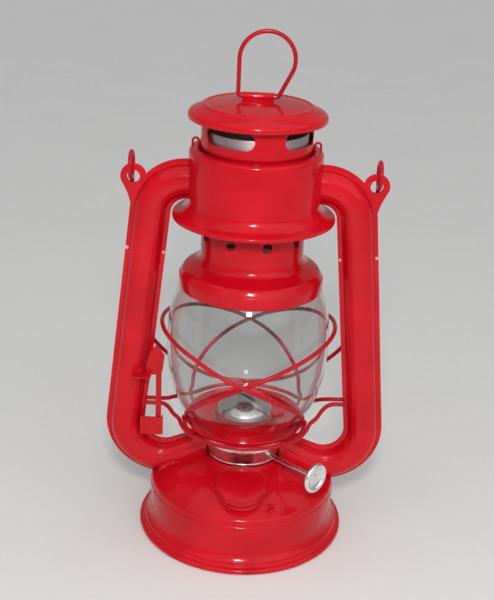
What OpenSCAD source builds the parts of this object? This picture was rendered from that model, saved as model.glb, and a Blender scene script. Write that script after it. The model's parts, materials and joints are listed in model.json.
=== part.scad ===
// Tubular hurricane lantern: tank, burner, air tubes, hood, lifting globe cradle and lifting chimney.
// Millimetres, +Z up. The origin is the centre of the foot's lowest plane, and -Y is the front.

/* [Tank] */
// Radius of the tank's side wall
tank_r = 49.2; // [48.5:0.1:50]
// Height of the tank's shoulder
tank_h = 28.6; // [27:0.1:29]
// Outer radius of the rolled bead round the foot
foot_r = 55.3; // [54.5:0.1:58]
// Height of the domed top where it meets the burner
dome_h = 42.6; // [42:0.1:42.8]
// Thickness of the pressed sheet
sheet = 0.7; // [0.5:0.05:0.8]
// Radius of the filler cap
cap_r = 13.4; // [13:0.1:14]
// Forward tilt of the filler
filler_tilt = 15; // [12:1:17]

/* [Burner] */
// Top radius of the bright drum under the globe plate
drum_r = 21.5; // [21:0.1:22]
// Height of the wick shaft
shaft_z = 49.6; // [49:0.1:50]
// Angle of the wick shaft, clockwise from +X seen from above
shaft_turn = 42.6; // [38:0.2:46]
// Distance from the lantern's axis to the knob
knob_reach = 53.6; // [50:0.2:56]
// Diameter of the wick shaft
shaft_d = 2.4; // [2.2:0.1:2.6]
// Height of the burner cone's crown
cone_h = 75.6; // [75:0.1:76.5]

/* [Air tubes] */
// Distance from the lantern's axis to a tube's straight leg, halfway up
leg_x = 54.3; // [54:0.1:55]
// Lean of the straight legs
leg_lean = 5.85; // [5.5:0.05:6]
// Width of a tube between its seam flanges
tube_w = 15.4; // [14.5:0.1:16]
// Depth of a tube from front to back
tube_d = 15; // [14:0.1:16]
// Width of a tube with its seam flanges
seam_w = 20.4; // [20:0.1:20.6]
// Bend radius at the hood
top_bend = 18; // [17.5:0.1:18.5]
// Height of a tube's level end in the hood
tube_top = 193; // [192:0.2:194]

/* [Hood and chimney] */
// Radius of the hood
hood_r = 33; // [32.5:0.1:33.5]
// Radius of the hood's lower flange
hood_flange = 40.6; // [40:0.1:41]
// Radius of the chimney's neck
neck_r = 25.9; // [25.5:0.1:26]
// Radius of the vent band
band_r = 27.3; // [27.2:0.1:27.6]
// Radius of the cap lid
lid_r = 34; // [33:0.1:35]
// Number of vent slots
vent_slots = 4; // [4:1:4]
// Number of round holes in the chimney's neck
neck_holes = 9; // [6:1:12]

/* [Globe and guard] */
// Largest radius of the glass globe
globe_r = 41.8; // [41:0.1:42]
// Wall of the glass globe
glass = 1.6; // [1.2:0.1:2]
// Diameter of the guard wires
guard_d = 2.2; // [2:0.1:2.3]

/* [Bail and ring] */
// Diameter of the bail wire
bail_d = 2.3; // [2:0.1:2.5]
// Radius of the bail's round grip
bail_r = 61; // [60.5:0.1:61.5]
// Length of the bail's straight legs, from the hinge line
bail_leg = 86; // [84:1:90]
// Angle of the hanging bail behind the vertical
bail_hang = 19; // [19:0.5:22]
// Height of the bail's hinge line
bail_z = 199; // [198.8:0.1:199.2]
// Diameter of the lift ring's wire
ring_d = 2.1; // [1.9:0.1:2.3]

/* [Hidden] */
$fn = 96;

red = [0.80, 0.04, 0.09];
tin = [0.78, 0.78, 0.76];
clear_fit = 0.05;               // radial clearance of a turning fit

filler_y = -34.6;               // centre of the filler cap's lower edge
filler_z = 39.3;
filler_neck_r = 11.6;
cap_h = 4.6;
shaft_side = -3.2;              // the shaft passes beside the wick by this much
wick_w = 12;
wick_t = 1.4;
wick_top = 71.6;
wick_len = 46.6;
seam_t = 0.6;                   // thickness of one seam flange
port_gap = 0.1;                 // gap round a tube end in its port
tube_in = 31;                   // distance from the axis to a tube's end inside the hood
bend_z = tube_top - top_bend;    // height of the upper bend's centre
low_bend = 21;                  // bend radius at the tank
low_z = 58.2;                   // height of the lower bend's centre
arm_rise = 26;                  // slope of the arm along the dome
ear_x = 60;                     // centre of the bail ear
ear_z = 193.2;
ear_r = 6.5;
eye_x = 61;                     // plane of the bail's eyes
eye_r = 6.3;

// ---- helpers -------------------------------------------------------------------------------

// Points along an arc, from angle a0 to a1
function arc(cx, cy, r, a0, a1, n = 8) =
  [for (i = [0:n]) let (a = a0 + (a1 - a0) * i / n) [cx + r * cos(a), cy + r * sin(a)]];

// Unit normal of a path at point i
function normal_at(p, i) =
  let (a = p[max(i - 1, 0)], b = p[min(i + 1, len(p) - 1)], d = b - a, l = norm(d))
  [-d[1] / l, d[0] / l];

// The same path moved sideways by t, kept on the right of the axis
function beside(p, t) =
  [for (i = [0:len(p) - 1]) let (q = p[i] + t * normal_at(p, i)) [max(0, q[0]), q[1]]];

// A path made into a strip of sheet metal, t thick on its left side
module strip(path, t = sheet) {
  back = beside(path, t);
  polygon(concat(path, [for (i = [len(back) - 1:-1:0]) back[i]]));
}

// A shell of revolution whose outer face follows the path from top to bottom
module pressed(path, t = sheet) {
  rotate_extrude()
    strip(path, -t);
}

// A round bar along X, Y or any direction between two points
module bar(a, b, d) {
  v = b - a;
  l = norm(v);
  translate(a)
    rotate([0, acos(v[2] / l), atan2(v[1], v[0])])
      cylinder(d = d, h = l, $fn = 32);
}

// A direction carried along a path without twist
function carried(tang, n, i = 0) =
  i == len(tang) ? [] :
  let (m = n - (n * tang[i]) * tang[i], u = m / norm(m)) concat([u], carried(tang, u, i + 1));

// A wire swept along 3-D points with an n-sided section
module wire(path, d, n = 10) {
  last = len(path) - 1;
  tang = [for (i = [0:last]) let (v = path[min(i + 1, last)] - path[max(i - 1, 0)]) v / norm(v)];
  up = carried(tang, [0.1, 0.2, 1]);
  side = [for (i = [0:last]) cross(tang[i], up[i])];
  ring = [for (i = [0:last], k = [0:n - 1])
    path[i] + d / 2 * (cos(360 * k / n) * side[i] - sin(360 * k / n) * up[i])];
  walls = [for (i = [0:last - 1], k = [0:n - 1])
    [i * n + k, i * n + (k + 1) % n, (i + 1) * n + (k + 1) % n, (i + 1) * n + k]];
  ends = [[for (k = [n - 1:-1:0]) k], [for (k = [0:n - 1]) last * n + k]];
  polyhedron(ring, concat(walls, ends), convexity = 6);
}

// ---- fuel tank -----------------------------------------------------------------------------

// Height of the dome's outer face at radius r
function dome_z(r) = let (t = (r - 20) / 27.5) dome_h - (dome_h - 29.4) * t + 4.6 * t * (1 - t);

shoulder = arc(tank_r - 2.4, tank_h - 1.6, 2.4, 62, 0, 5);
dome_line = concat(
  [[13.5, dome_h], [20, dome_h]],
  [for (r = [23:3:44]) [r, dome_z(r)]],
  shoulder
);

// Everything that the tank fills, for parts that sit on it
module tank_envelope() {
  rotate_extrude()
    polygon(concat([[0, 5], [0, dome_h]], dome_line, [[tank_r, 5]]));
}

module at_filler() {
  translate([0, filler_y, filler_z])
    rotate([filler_tilt, 0, 0])
      children();
}

module tank_shell() color(red) {
  roll_r = 1.5;                 // the foot's rolled edge
  roll = foot_r - roll_r;
  flare = arc(tank_r + 8.3, 11.6, 8.3, 180, 236, 6);
  wall = concat([[tank_r - 0.8, 27], [tank_r - 0.8, 24.6], [tank_r, 23.8], [tank_r, 13]], flare);
  pressed(concat(wall, [[roll, 2.3]]));
  rotate_extrude()
    difference() {
      translate([roll, 1.4])
        circle(r = roll_r, $fn = 32);
      translate([roll - 3, -2])
        square([6, 2]);
    }
}

module tank_bottom() color(red) {
  rim = tank_r - sheet - 0.05;
  edge = arc(rim - 1.2, 9.2, 1.2, 90, 0, 4);
  pressed(concat([[0, 9.4], [rim - 5, 9.4], [rim - 3, 10.4]], edge, [[rim, 6]]));
}

module tank_top() color(red) {
  difference() {
    pressed(concat(dome_line, [[tank_r, 24.8], [tank_r + 0.4, 24.3], [tank_r, 23.9]]));
    at_filler()
      translate([0, 0, -14])
        cylinder(r = filler_neck_r + 0.03, h = 24);
  }
}

module filler_neck() color(red) {
  at_filler()
    difference() {
      translate([0, 0, -8.5])
        cylinder(r = filler_neck_r, h = 10.7);
      translate([0, 0, -9])
        cylinder(r = filler_neck_r - sheet, h = 12);
    }
}

module filler_gasket() color("tan") {
  at_filler()
    translate([0, 0, 2.25])
      difference() {
        cylinder(r = filler_neck_r - 0.1, h = 1);
        translate([0, 0, -1])
          cylinder(r = 7.5, h = 3);
      }
}

module filler_cap() color(red) {
  crown = [[0, cap_h + 0.9], [6, cap_h + 0.7], [10.6, cap_h + 0.1]];
  edge = arc(cap_r - 1.6, cap_h - 1.7, 1.6, 80, 0, 5);
  at_filler()
    difference() {
      rotate_extrude()
        polygon(concat(crown, edge, [[cap_r, 0], [0, 0]]));
      translate([0, 0, -1])
        cylinder(r = filler_neck_r + clear_fit, h = 4.3);
    }
}

module burner_collar() color(tin) {
  translate([0, 0, 37.5])
    difference() {
      cylinder(r = 13.45, h = 9);
      translate([0, 0, -1])
        cylinder(r = 12.75, h = 11);
    }
}

// ---- burner --------------------------------------------------------------------------------

// The shaft's own frame: +X runs out along the shaft, and the origin is over the lantern's axis
module at_shaft() {
  rotate([0, 0, -shaft_turn])
    translate([0, shaft_side, shaft_z])
      children();
}

module shaft_bore() {
  at_shaft()
    translate([-30, 0, 0])
      rotate([0, 90, 0])
        cylinder(d = shaft_d + 2 * clear_fit, h = 60);
}

module air_chamber() color(tin) {
  wall = [[drum_r, 57], [drum_r, 52], [drum_r - 1.9, 44.5], [drum_r - 2.4, 43.9], [13.6, 43.9]];
  difference() {
    union() {
      pressed(wall);
      rotate_extrude()
        translate([drum_r - 2.5, 44])
          circle(r = 0.75, $fn = 32);
    }
    for (s = [0, 1])
      mirror([s, 0, 0])
        tube_cutter();
    shaft_bore();
  }
}

module air_plate() color(tin) {
  translate([0, 0, 56.3])
    difference() {
      cylinder(r = drum_r - sheet - 0.02, h = 0.6);
      translate([0, 0, -1])
        cylinder(r = 12.65, h = 3);
      for (a = [0:15:345])
        rotate([0, 0, a])
          translate([17.8, 0, -1])
            cylinder(d = 2, h = 3, $fn = 24);
    }
}

module burner_body() color(tin) {
  difference() {
    union() {
      translate([0, 0, 40.5])
        cylinder(r = 12.6, h = 16.5);
      translate([0, 0, 56.95])
        cylinder(r = 15.2, h = 0.65);
    }
    translate([0, 0, 41.2])
      cylinder(r = 11.9, h = 20);
    rotate([0, 0, -shaft_turn])
      translate([-6.95, -1.55, 39])
        cube([13.9, 3.1, 4]);
    shaft_bore();
  }
}

module wick_tube() color(tin) {
  rotate([0, 0, -shaft_turn])
    difference() {
      translate([-6.9, -1.5, 36])
        cube([13.8, 3, 33]);
      translate([-6.3, -1, 35])
        cube([12.6, 2, 36]);
      for (x = [-3.2, 3.2])
        translate([x - 1.3, -2, shaft_z - 2.8])
          cube([2.6, 1.4, 5.6]);
    }
}

module wick() color("ivory") {
  rotate([0, 0, -shaft_turn])
    translate([-wick_w / 2, -wick_t / 2, wick_top - wick_len])
      cube([wick_w, wick_t, wick_len]);
}

module wick_wheels() color(tin) {
  teeth = 10;
  at_shaft()
    for (x = [-3.2, 3.2])
      translate([x - 0.7, 0, 0])
        rotate([0, 90, 0])
          linear_extrude(1.4)
            difference() {
              polygon([for (k = [0:2 * teeth - 1])
                (k % 2 == 0 ? 2.2 : 1.7) * [cos(180 * k / teeth), sin(180 * k / teeth)]]);
              circle(d = shaft_d);
            }
}

module wick_shaft() color(tin) {
  at_shaft()
    translate([-13.4, 0, 0])
      rotate([0, 90, 0])
        cylinder(d = shaft_d, h = knob_reach + 13.4 - 2.2);
}

module wick_knob() color(tin) {
  rim = 6.65;                   // radius to the middle of the rolled rim
  dish = [[0, -0.6], [2.2, -0.6], [4.4, -0.1], [rim, 0.3]];
  at_shaft()
    translate([knob_reach, 0, 0])
      rotate([0, 90, 0]) {
        rotate_extrude()
          translate([rim, 0])
            circle(r = 1.35, $fn = 32);
        pressed(dish, 0.6);
        translate([0, 0, -2.2])
          cylinder(r = 2.1, h = 2);
      }
}

module burner_cone() color(tin) {
  crown = [for (a = [90:-10:30]) [15.9 * cos(a), cone_h - 11.5 * (1 - sin(a))]];
  difference() {
    pressed(concat(crown, [[14.9, cone_h - 9], [15.2, 62], [15.2, 57.62]]), 0.5);
    rotate([0, 0, -shaft_turn])
      translate([-6.75, -2.2, 68])
        cube([13.5, 4.4, 12]);
  }
}

// ---- air tubes -----------------------------------------------------------------------------

// Outline of the pressed half, from one seam to the other, g larger all round
function half_depth(u, g = 0) =
  -(tube_d / 2 + g) * pow(max(0, 1 - pow(abs(u) / (tube_w / 2 + g), 2.6)), 1 / 2.6);

function half_line(g = 0) =
  let (w = tube_w / 2 + g)
  [for (k = [-9:9]) let (u = w * sin(10 * k)) [u, half_depth(u, g)]];

// Section of one pressed half with its seam flanges s wide, its walls thinner by g on each face
module half_section(s = seam_w / 2, g = 0) {
  outer = half_line(-g);
  inner = half_line(g - sheet);
  root = tube_w / 2 - g - 0.02;
  lip = seam_t - g;
  polygon(concat(
    [[g - s, 0], [g - s, -lip], [-root, -lip]],
    [for (q = outer) if (q[1] < -lip) q],
    [[root, -lip], [s - g, -lip], [s - g, 0]],
    [for (i = [len(inner) - 1:-1:0]) inner[i]]
  ));
}

// Both halves' outer outline, filled, for the ports that a tube enters
module full_section(g, side = seam_w / 2) {
  line = half_line(g);
  s = side + g;
  polygon(concat(line, [for (i = [len(line) - 2:-1:1]) [line[i][0], -line[i][1]]]));
  translate([-s, -seam_t - g])
    square([2 * s, 2 * (seam_t + g)]);
}

// A straight stretch, from a point whose outward direction is at angle p
module stretch(p, at, from, to) {
  translate([at[0], 0, at[1]])
    rotate([0, -p, 0])
      translate([0, 0, from])
        linear_extrude(to - from)
          children();
}

// A bend about a centre, from outward angle p0 to p1
module bend(centre, r, p0, p1) {
  translate([centre[0], 0, centre[1]])
    rotate([90, 0, 0])
      rotate_extrude(angle = p1 - p0, start = p0)
        translate([r, 0])
          mirror([0, 1])
            children();
}

// Centre of a bend of radius r at height z, its outside running into the leaning leg
function bend_centre(r, z) =
  [leg_x + (150 - z - r * sin(leg_lean)) * tan(leg_lean) - r * cos(leg_lean), z];

upper = bend_centre(top_bend, bend_z);
lower = bend_centre(low_bend, low_z);
leg_top = upper + top_bend * [cos(leg_lean), sin(leg_lean)];
leg_foot = lower + low_bend * [cos(leg_lean), sin(leg_lean)];
arm_angle = -90 - arm_rise;
arm_start = lower + low_bend * [cos(arm_angle), sin(arm_angle)];
arm_len = (arm_start[0] - 14) / cos(arm_rise);
arm_seam = tube_w / 2 + 0.8;    // the seam flanges are trimmed along the arm

// One half of a tube: the straight stretches slip a little way into the bends
module half_run() {
  slip = 0.3;
  thin = 0.03;
  stretch(90, [upper[0], tube_top], -slip, upper[0] - tube_in)
    half_section(g = thin);
  bend(upper, top_bend, leg_lean, 90)
    half_section();
  stretch(leg_lean, leg_top, -norm(leg_top - leg_foot) - slip, slip)
    half_section(g = thin);
  bend(lower, low_bend, arm_angle, leg_lean)
    half_section();
  stretch(arm_angle, arm_start, -arm_len, slip)
    half_section(arm_seam, thin);
}

// What a tube cuts out of the hood's wall and the drum's wall
module tube_cutter() {
  stretch(90, [upper[0], tube_top], 0, upper[0] - 20)
    full_section(port_gap);
  stretch(arm_angle, arm_start, -arm_len, 0)
    full_section(port_gap, arm_seam);
}

module ear() {
  rotate([90, 0, 0])
    linear_extrude(seam_t)
      difference() {
        union() {
          translate([ear_x, ear_z])
            circle(r = ear_r);
          polygon([[60, 186], [66.1, 191], [leg_top[0] + seam_w / 2 + 0.1, 174], [60.5, 174]]);
        }
        translate([ear_x, ear_z])
          circle(r = 3.2);
        translate(upper)
          circle(r = top_bend + tube_w / 2 - 0.1);
        polygon([[50, 160], leg_top + [tube_w / 2 - 0.1, -2], leg_top + [seam_w / 2 - 0.1, -20],
          [50, 150]]);
      }
}

module tube_half(side, back) {
  mirror([side, 0, 0])
    mirror([0, back, 0])
      difference() {
        union() {
          half_run();
          ear();
        }
        tank_envelope();
        translate([0, 0, 35])
          cylinder(r = drum_r - 0.8, h = 30);
      }
}

module left_tube_front() color(red) tube_half(1, 0);
module left_tube_back() color(red) tube_half(1, 1);
module right_tube_front() color(red) tube_half(0, 0);
module right_tube_back() color(red) tube_half(0, 1);

// ---- hood ----------------------------------------------------------------------------------

module hood() color(red) {
  edge = arc(hood_r - 2.6, 207.4, 2.6, 75, 0, 5);
  flare = arc(hood_r + 6.6, 184, 6.6, 180, 250, 7);
  difference() {
    pressed(concat(edge, flare, [[hood_flange, 176.8], [hood_flange, 175.4]]));
    for (s = [0, 1])
      mirror([s, 0, 0])
        tube_cutter();
  }
}

module hood_top() color(red) {
  rotate_extrude() {
    translate([29, 209.3])
      square([1.8, 0.7]);
    translate([29, 205.5])
      square([0.6, 4]);
  }
}

module spring_clip() color(tin) {
  d = 1.2;
  translate([0, 0, 204.9])
    rotate_extrude()
      translate([29.3, 0])
        circle(d = d, $fn = 24);
  for (s = [0, 1])
    mirror([s, 0, 0]) {
      translate([28.25, 0, 204.9])
        cylinder(d = d, h = 7.5, $fn = 24);
      translate([29.75, 0, 212.4])
        rotate([90, 0, 0])
          rotate_extrude(angle = 180)
            translate([1.5, 0])
              circle(d = d, $fn = 24);
      translate([31.25, 0, 210])
        cylinder(d = d, h = 2.4, $fn = 24);
    }
}

// ---- globe cradle --------------------------------------------------------------------------

module lever_bracket() color(red) {
  // channel that guides the strip, soldered on the tube's inner seam
  low = 52.5;
  high = 10.5;
  wall = 0.7;
  translate([-55.4, -6.1, low])
    cube([12.2, wall, high]);
  translate([-43.9, -6.1, low])
    cube([wall, 3, high]);
  intersection() {
    translate([-54.7, -6.1, low])
      cube([wall, 6.1 - seam_t, high]);
    translate([-lower[0], 0, low_z])
      rotate([90, 0, 0])
        cylinder(r = low_bend - tube_w / 2 - 0.1, h = 7);
  }
}

module lift_lever() color(red) {
  t = 0.8;
  left = -47.3;                 // the strip's left edge
  strip_w = 3;
  shelf = 89.4;                 // height of the thumb tab
  translate([left, -4.75, 53])
    cube([strip_w, t, shelf - 53 + t]);
  translate([left, -9.2, shelf])
    cube([strip_w, 5.25, t]);
  translate([0, -8.4, 0])
    rotate([90, 0, 0])
      linear_extrude(t)
        polygon([[left + strip_w, shelf], [-43.4, 92.4], [-42.5, 100.5], [-46.7, 106.7],
          [-50.3, 101.8], [-52.2, 92.5], [-51.6, shelf]]);
  translate([-59.2, -14.5, shelf])
    cube([9.9, 6.1, t]);
}

module globe_plate() color(red) {
  rotate_extrude()
    strip([[16.6, 62.6], [16.6, 60.6], [17.4, 59.8], [20.4, 59.6], [21.4, 60.3], [22.6, 60.3],
      [23.6, 59.6], [25.4, 60], [26.2, 61.1], [29.2, 61.2], [30.2, 62.2], [31.5, 64.2]], -sheet);
}

// Radius of the globe's outer face at height z
function globe_at(z) =
  let (d = abs(z - 110), a = z < 110 ? 54.7 : 45)
  globe_r * pow(1 - pow(d / a, 2.5), 0.4);

module globe() color([0.9, 0.95, 0.95, 0.35]) {
  side = [for (z = [140:-5:70]) [globe_at(z), z]];
  foot = [[globe_at(66.5), 66.5], [28.5, 64], [28.4, 61.3]];
  pressed(concat([[33, 147.6], [33.4, 142.6]], side, foot), glass);
}

// The lower wires' ends: arms that straddle the tubes' inner seams
left_arm = [[-53.2, -2.85, 69.9], [-47, -2.85, 69.9], [-43.9, -2.85, 69.9], [-41.4, -4.3, 69.4],
  [-39.3, -7, 68.7], [-37.3, -10.2, 67.7]];
right_arm = [[37.9, -10.2, 68.8], [40.4, -6.9, 71.2], [43.3, -4.2, 72.9], [46.5, -2.95, 73.7],
  [50, -2.85, 73.8], [53.2, -2.85, 73.8]];
lower_wire = concat(
  left_arm,
  [for (a = [-159:6:-21]) let (k = max(0, abs(a + 90) - 48) / 21)
    [36.7 * cos(a), 36.7 * sin(a), 63.6 + 3 * k * k]],
  right_arm
);

module guard_front() color(red) wire(lower_wire, guard_d);

module guard_back() color(red)
  mirror([0, 1, 0])
    wire(lower_wire, guard_d);

// A cross wire: high at one side, crossing at front and back, its ends turned under the plate
cross_end = 150;
function cross_z(a) = 118 - 47 * pow(a / cross_end, 2);
function cross_r(a, out) = globe_at(cross_z(a)) + guard_d / 2 + 0.35 + 1.6 * pow(cos(a / 2), 6)
  + out * (guard_d + 0.05) * max(0, 1 - pow((abs(a) - 90) / 34, 2));
function at_angle(r, a, z) = [r * cos(a), r * sin(a), z];
turned_under = [[27, 59], [29.5, 59.1], [32, 60.3], [33.4, 62.6], [34, 65.4], [34.7, 68.2]];
function cross_wire(out) = concat(
  [for (q = turned_under) at_angle(q[0], -156, q[1])],
  [for (a = [-cross_end:6:cross_end]) at_angle(cross_r(abs(a), out), a, cross_z(abs(a)))],
  [for (i = [len(turned_under) - 1:-1:0]) at_angle(turned_under[i][0], 156, turned_under[i][1])]
);

module guard_cross_left() color(red)
  mirror([1, 0, 0])
    wire(cross_wire(1), guard_d);

module guard_cross_right() color(red) wire(cross_wire(0), guard_d);

// ---- chimney -------------------------------------------------------------------------------

module bell() color(red) {
  flare = arc(neck_r + 6.2, 156.6, 6.2, 180, 248, 6);
  edge = arc(31.4, 145.4, 4.2, 74, 20, 5);
  difference() {
    pressed(concat([[neck_r, 198]], flare, edge, [[35.9, 146], [36.6, 145], [36.6, 139.3]]));
    for (k = [0:neck_holes - 1])
      rotate([0, 0, -90 + 16.2 + k * 360 / neck_holes])
        translate([20, 0, 167.2])
          rotate([0, 90, 0])
            cylinder(d = 5.2, h = 10, $fn = 32);
  }
}

module flue_tube() color(tin) {
  translate([0, 0, 173])
    difference() {
      cylinder(r = neck_r - sheet - 0.02, h = 46.3);
      translate([0, 0, -1])
        cylinder(r = neck_r - sheet - 0.6, h = 49);
    }
}

module vent_band() color(red) {
  half = 29.5;                  // half of one slot's angle
  h = 8.7;                      // height of one slot
  in = band_r - 2.5;
  difference() {
    rotate_extrude()
      strip([[band_r, 229.9], [band_r, 210.8], [band_r - 0.65, 208.6], [band_r - 0.65, 197]], -sheet);
    for (k = [0:vent_slots - 1])
      rotate([0, 0, -90 - 31.5 + k * 360 / vent_slots]) {
        trim = asin(h / 2 / band_r);
        rotate_extrude(angle = 2 * (half - trim), start = trim - half)
          translate([in, 219.45 - h / 2])
            square([4, h - 0.1]);
        for (a = [trim - half, half - trim])
          rotate([0, 0, a])
            translate([in, 0, 219.4])
              rotate([0, 90, 0])
                cylinder(d = h, h = 4);
      }
  }
}

module cap_lid() color(red) {
  pressed([[0, 233], [10, 233], [20, 232.3], [24.4, 231.5], [25.4, 231.9], [26.6, 231.8], [27.4, 230.9],
    [31, 229.4], [33, 228.3], [lid_r - 0.2, 227.3], [lid_r, 226.5], [lid_r, 225.2]]);
}

ring_z = 235.4;
ring_bore = ring_d / 2 + clear_fit;

module ring_strap() color(red) {
  difference() {
    union() {
      translate([-8.2, -5.5, 233])
        cube([15.4, 11, 0.6]);
      translate([-8.2, -1.9, 233.3])
        cube([15.4, 3.8, 2.1]);
      translate([-8.2, 0, ring_z])
        rotate([0, 90, 0])
          cylinder(r = 1.9, h = 15.4, $fn = 48);
    }
    translate([-9, 0, ring_z])
      rotate([0, 90, 0])
        cylinder(r = ring_bore, h = 18, $fn = 48);
  }
}

module lift_ring() color(red) {
  left = -10.1;                 // the upright leg
  r = 13.3;                     // bend radius of the ring's crown
  corner = 1.7;                 // bend radius at the hinge bar
  last = -27;                   // angle at which the crown runs into the slanting leg
  slip = 0.3;
  crown = [left + r, 253];
  tip = crown + r * [cos(last), sin(last)];
  low = ring_z + corner;
  foot_z = low + corner * sin(last);
  foot = [tip[0] + (tip[1] - foot_z) * tan(last), foot_z];
  right = foot[0] - corner * cos(last);
  bend(crown, r, last, 180)
    circle(d = ring_d, $fn = 32);
  bend([left + corner, low], corner, 180, 270)
    circle(d = ring_d, $fn = 32);
  bend([right, low], corner, -90, last)
    circle(d = ring_d, $fn = 32);
  stretch(180, [left, low], -crown[1] + low - slip, slip)
    circle(d = ring_d - 0.06, $fn = 32);
  stretch(last, foot, -slip, norm(tip - foot) + slip)
    circle(d = ring_d - 0.06, $fn = 32);
  stretch(-90, [left + corner, ring_z], -slip, right - left - corner + slip)
    circle(d = ring_d - 0.06, $fn = 32);
}

// ---- bail ----------------------------------------------------------------------------------

module bail() color(red) {
  translate([0, 0, bail_z])
    rotate([bail_hang, 0, 0]) {
      for (x = [-eye_x, eye_x])
        translate([x, 0, 0]) {
          rotate([0, 90, 0])
            rotate_extrude()
              translate([eye_r, 0])
                circle(d = bail_d, $fn = 32);
          translate([0, 0, -bail_leg])
            cylinder(d = bail_d, h = bail_leg - eye_r, $fn = 32);
        }
      translate([0, 0, -bail_leg])
        rotate([-90, 0, 0])
          rotate_extrude(angle = 180)
            translate([bail_r, 0])
              circle(d = bail_d, $fn = 32);
    }
}

tank_shell();
tank_bottom();
tank_top();
filler_neck();
filler_gasket();
filler_cap();
burner_collar();
air_chamber();
air_plate();
burner_body();
wick_tube();
wick();
wick_wheels();
wick_shaft();
wick_knob();
burner_cone();
left_tube_front();
left_tube_back();
right_tube_front();
right_tube_back();
hood();
hood_top();
spring_clip();
lever_bracket();
lift_lever();
globe_plate();
guard_front();
guard_back();
guard_cross_left();
guard_cross_right();
globe();
bell();
flue_tube();
vent_band();
cap_lid();
ring_strap();
lift_ring();
bail();
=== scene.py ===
import json
import math
import random

import bmesh
import bpy
from mathutils import Matrix, Vector, noise


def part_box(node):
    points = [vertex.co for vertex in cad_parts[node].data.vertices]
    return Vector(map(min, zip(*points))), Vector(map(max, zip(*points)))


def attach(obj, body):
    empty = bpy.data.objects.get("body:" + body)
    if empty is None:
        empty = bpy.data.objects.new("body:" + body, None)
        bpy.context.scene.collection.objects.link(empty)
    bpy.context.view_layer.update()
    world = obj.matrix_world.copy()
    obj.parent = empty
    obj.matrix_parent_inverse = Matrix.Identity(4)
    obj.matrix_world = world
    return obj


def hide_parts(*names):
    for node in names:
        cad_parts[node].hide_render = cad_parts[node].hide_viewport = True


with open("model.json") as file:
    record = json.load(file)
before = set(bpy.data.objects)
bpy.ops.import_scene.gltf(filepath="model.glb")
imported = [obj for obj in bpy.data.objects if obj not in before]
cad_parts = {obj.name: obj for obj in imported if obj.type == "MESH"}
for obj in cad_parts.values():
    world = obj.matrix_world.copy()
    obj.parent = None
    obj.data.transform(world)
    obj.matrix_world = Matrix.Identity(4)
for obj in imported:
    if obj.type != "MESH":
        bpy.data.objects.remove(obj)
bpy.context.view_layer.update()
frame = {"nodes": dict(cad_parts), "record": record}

# ---- driving sizes, in mm --------------------------------------------------------------------

MM = 0.001
FOOT_FLARE = 6.1                # how far the foot stands out beyond the tank's wall
NECK_OVER_FLUE = 0.72           # the bell's sheet and its gap to the flue inside it


def box_of(node):
    """Lowest and highest corner of a CAD node, in mm."""
    low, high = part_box(node)
    return low / MM, high / MM


# sizes that are read from the frame
FOOT_R = box_of("tank_shell")[1].x
TANK_R = FOOT_R - FOOT_FLARE
DOME_H = box_of("tank_top")[1].z
DRUM_R = box_of("air_chamber")[1].x
CONE_H = box_of("burner_cone")[1].z
GLOBE_R = box_of("globe")[1].x
GLOBE_TOP = box_of("globe")[1].z
NECK_R = box_of("flue_tube")[1].x + NECK_OVER_FLUE
BAND_R = box_of("vent_band")[1].x
LID_R = box_of("cap_lid")[1].x
LID_TOP = box_of("cap_lid")[1].z
FLANGE_R = box_of("hood")[1].x
HOOD_TOP = box_of("hood_top")[1].z

# sizes that repeat the CAD's own
SHEET = 0.7
CAP_R = 13.4
CAP_H = 4.6
FILLER_AT = Vector((0, -34.6, 39.3))
FILLER_TILT = math.radians(15)
FILLER_NECK_R = 11.6
SHAFT_Z = 49.6
SHAFT_SIDE = -3.2
SHAFT_TURN = math.radians(-42.6)
KNOB_REACH = 53.6
SHAFT_D = 2.4
HOOD_R = 33
GUARD_D = 2.2
BAIL_D = 2.3
RING_D = 2.1
RING_Z = 235.4
BAIL_Z = 199
BAIL_R = 61
BAIL_LEG = 86
BAIL_HANG = math.radians(19)
EYE_R = 6.3
VENT_Z = 219.4
NECK_HOLE_Z = 167.2
NECK_HOLE_R = 2.6
NECK_HOLES = 9
NECK_HOLE_START = -90 + 16.2    # degrees
VENT_SLOTS = 4
VENT_START = -90 - 31.5         # degrees

TUBE_W = 15.4
TUBE_D = 15
SEAM_W = 20.4
SEAM_T = 0.6
TUBE_TOP = 193
TUBE_IN = 31
LEG_X = 54.3                    # where the leg's centre line is at height LEG_Z
LEG_Z = 150
LEG_LEAN = 5.85                 # degrees
TOP_BEND = 18
LOW_BEND = 21
LOW_Z = 58.2
ARM_RISE = 26                   # degrees
ARM_END = 14
CRIMP_Z = 155
EAR_X = 60
EAR_Z = 193.2
EAR_R = 6.5
EAR_HOLE_R = 3.2

# fineness of the meshes
TURNS = 168                     # steps round a full turn of a pressed part
SHARP = 35                      # degrees above which an edge stays sharp


# ---- material nodes --------------------------------------------------------------------------

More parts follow.
